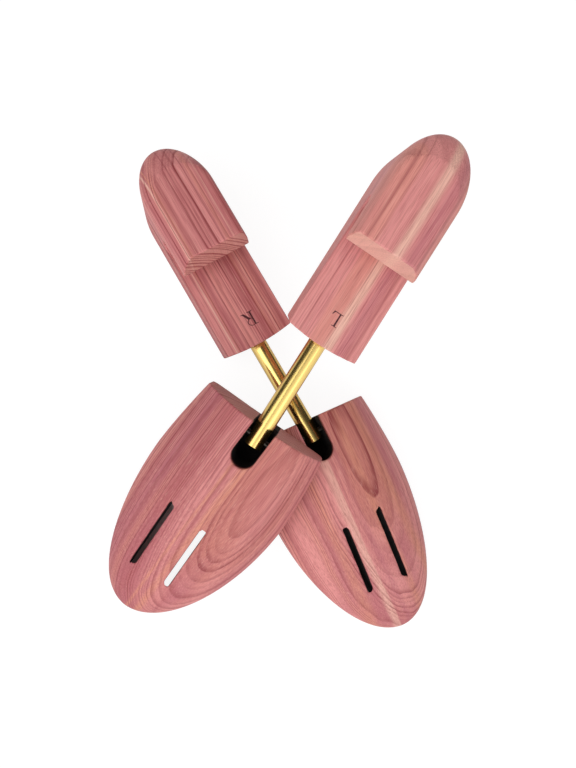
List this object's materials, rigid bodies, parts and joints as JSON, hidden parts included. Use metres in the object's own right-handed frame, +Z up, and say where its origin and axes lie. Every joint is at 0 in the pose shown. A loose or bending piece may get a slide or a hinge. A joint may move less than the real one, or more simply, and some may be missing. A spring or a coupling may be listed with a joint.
{
  "type": "pair of shoe trees",
  "caption": "Pair of cedar shoe trees lying crossed: vented toe blocks on hinged, spring-loaded brass tubes, and heel blocks with a finger groove.",
  "frame": {"origin": "on the floor under the middle of the pair's box", "axes": "+Y towards the heels, +X to the right, +Z up"},
  "size_m": [0.1752, 0.2528, 0.1112],
  "materials": {
    "cedar": "sanded bare red cedar with pink and tan streaks",
    "brass_tube": "polished brass",
    "pin_steel": "drawn steel pin",
    "spring_steel": "spring steel wire"
  },
  "bodies": {
    "right_toe": {"right_toe_block": "cedar", "right_hinge_pin": "pin_steel"},
    "right_tube": {"right_tube": "brass_tube"},
    "right_heel": {"right_heel_block": "cedar", "right_stop_pin": "pin_steel", "right_spring": "spring_steel"},
    "left_toe": {"left_toe_block": "cedar", "left_hinge_pin": "pin_steel"},
    "left_tube": {"left_tube": "brass_tube"},
    "left_heel": {"left_heel_block": "cedar", "left_stop_pin": "pin_steel", "left_spring": "spring_steel"}
  },
  "joints": [
    {"name": "right_heel_fold", "type": "hinge", "parent": "right_toe", "child": "right_tube", "pos_m": [0.01741, -0.02164, 0.0214], "axis": [0.8793, 0.4762, 0], "range_deg": [0, 125]},
    {"name": "right_heel_slide", "type": "slide", "parent": "right_tube", "child": "right_heel", "axis": [0.5341, -0.8435, 0.0565], "range_m": [0, 0.025], "stiffness_N_per_m": 600, "springref_m": -0.01, "deforming": ["right_spring"]},
    {"name": "left_tree_lift", "type": "slide", "parent": "right_toe", "child": "left_toe", "axis": [0, 0, 1], "range_m": [0, 0.482]},
    {"name": "left_heel_fold", "type": "hinge", "parent": "left_toe", "child": "left_tube", "pos_m": [-0.01418, -0.02653, 0.05062], "axis": [0.8191, -0.5718, 0.0466], "range_deg": [0, 125]},
    {"name": "left_heel_slide", "type": "slide", "parent": "left_tube", "child": "left_heel", "axis": [-0.486, -0.8599, -0.1562], "range_m": [0, 0.025], "stiffness_N_per_m": 600, "springref_m": -0.01, "deforming": ["left_spring"]}
  ],
  "couplings": [
    {"joint": "left_tree_lift", "follows": "right_heel_fold", "m_per_rad": 0.22}
  ]
}
